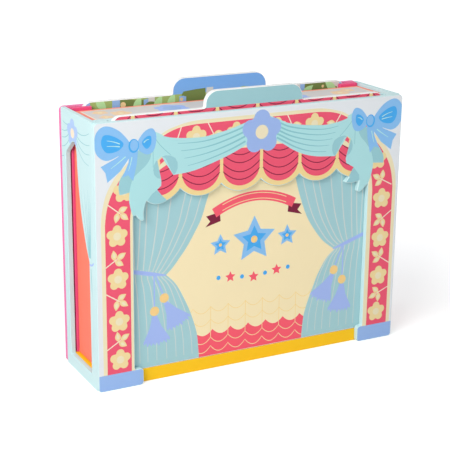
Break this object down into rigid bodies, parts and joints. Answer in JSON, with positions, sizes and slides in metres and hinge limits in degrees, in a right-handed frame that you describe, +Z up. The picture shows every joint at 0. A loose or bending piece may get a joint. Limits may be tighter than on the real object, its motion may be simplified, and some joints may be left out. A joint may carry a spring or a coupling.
{
  "type": "puppet theater stand",
  "caption": "Child's table-top puppet theater stand: slotted wooden case with a cut-out proscenium, curtain and backdrop boards that lift out by hand tabs, and a lidded storage box in the bay.",
  "frame": {"origin": "on the surface the stand rests on, below the middle of the case", "axes": "+X right along the front, +Y from the front panel to the back panel, +Z up"},
  "size_m": [0.384, 0.103, 0.3223],
  "materials": {
    "proscenium_board": "satin paint with a printed face",
    "mint_board": "satin paint",
    "pink_board": "satin paint",
    "amber_board": "satin paint",
    "orange_board": "satin paint",
    "curtain_print": "printed face, white edges",
    "backdrop_print": "printed face, white edges",
    "lid_print": "printed top, painted edges"
  },
  "bodies": {
    "case": {"proscenium_panel": "proscenium_board", "side_panel_left": "mint_board", "side_panel_right": "mint_board", "back_panel": "pink_board", "stage_floor": "amber_board", "front_spacer_left": "mint_board", "front_spacer_right": "mint_board", "front_guide_left": "mint_board", "front_guide_right": "mint_board", "rear_spacer_left": "pink_board", "rear_spacer_right": "pink_board", "rear_guide_left": "pink_board", "rear_guide_right": "pink_board"},
    "curtain_board": {"curtain_board": "curtain_print"},
    "backdrop_board": {"backdrop_board": "backdrop_print"},
    "storage_box": {"storage_box_base": "orange_board", "storage_box_front": "orange_board", "storage_box_back": "orange_board", "storage_box_end_left": "orange_board", "storage_box_end_right": "orange_board"},
    "storage_lid": {"storage_lid": "lid_print", "lid_batten_left": "orange_board", "lid_batten_right": "orange_board"}
  },
  "joints": [
    {"name": "curtain_board_lift", "type": "slide", "parent": "case", "child": "curtain_board", "axis": [0, 0, 1], "range_m": [0, 0.283]},
    {"name": "backdrop_board_lift", "type": "slide", "parent": "case", "child": "backdrop_board", "axis": [0, 0, 1], "range_m": [0, 0.283]},
    {"name": "storage_box_lift", "type": "slide", "parent": "case", "child": "storage_box", "axis": [0, 0, 1], "range_m": [0, 0.283]},
    {"name": "lid_lift", "type": "slide", "parent": "storage_box", "child": "storage_lid", "axis": [0, 0, 1], "range_m": [0, 0.03]}
  ]
}
